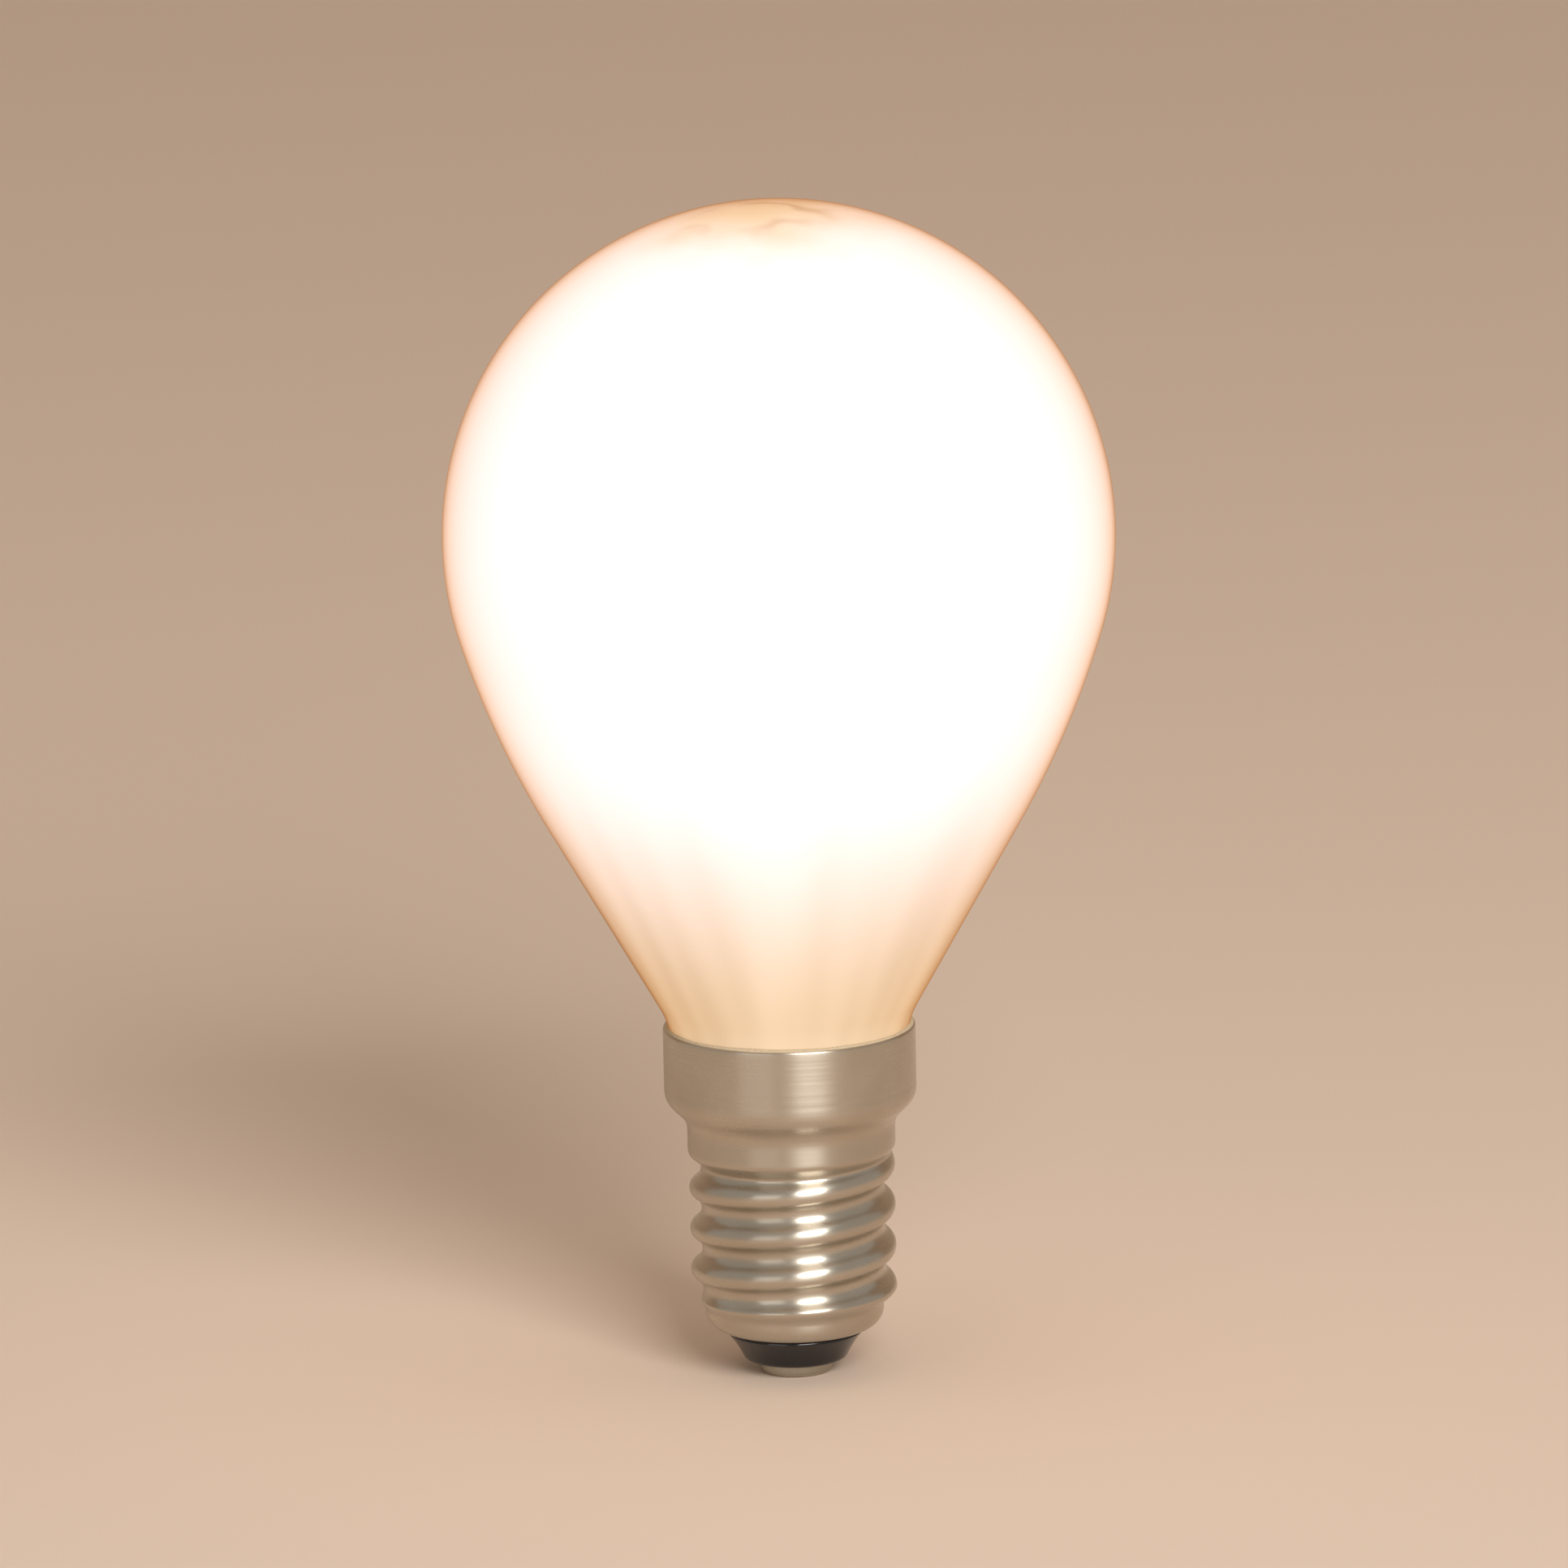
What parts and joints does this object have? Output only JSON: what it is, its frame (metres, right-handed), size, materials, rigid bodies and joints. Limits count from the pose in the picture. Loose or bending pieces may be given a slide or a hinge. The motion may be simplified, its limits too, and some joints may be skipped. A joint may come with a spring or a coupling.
{
  "type": "mini globe led bulb",
  "caption": "Small opal glass globe light bulb with a conical neck, a metal screw cap, a black glass insulator and a centre contact; screws into a small lampholder and glows warm white.",
  "frame": {"origin": "middle of the centre contact's flat face, on the bulb's axis", "axes": "+Z along the bulb's axis from the contact to the top of the globe, +X and +Y across it; the bulb is round, so X is only where the thread starts"},
  "size_m": [0.045, 0.045, 0.08],
  "materials": {
    "opal_glass": "glossy opal white, lit from inside with warm white light",
    "nickel_plate": "nickel plated brass, satin, with fine marks of the thread rolling",
    "black_glass": "glossy black pressed glass",
    "tinned_brass": "tinned brass, satin"
  },
  "bodies": {
    "root": {"globe": "opal_glass", "screw_cap": "nickel_plate", "insulator": "black_glass", "centre_contact": "tinned_brass"}
  },
  "joints": []
}
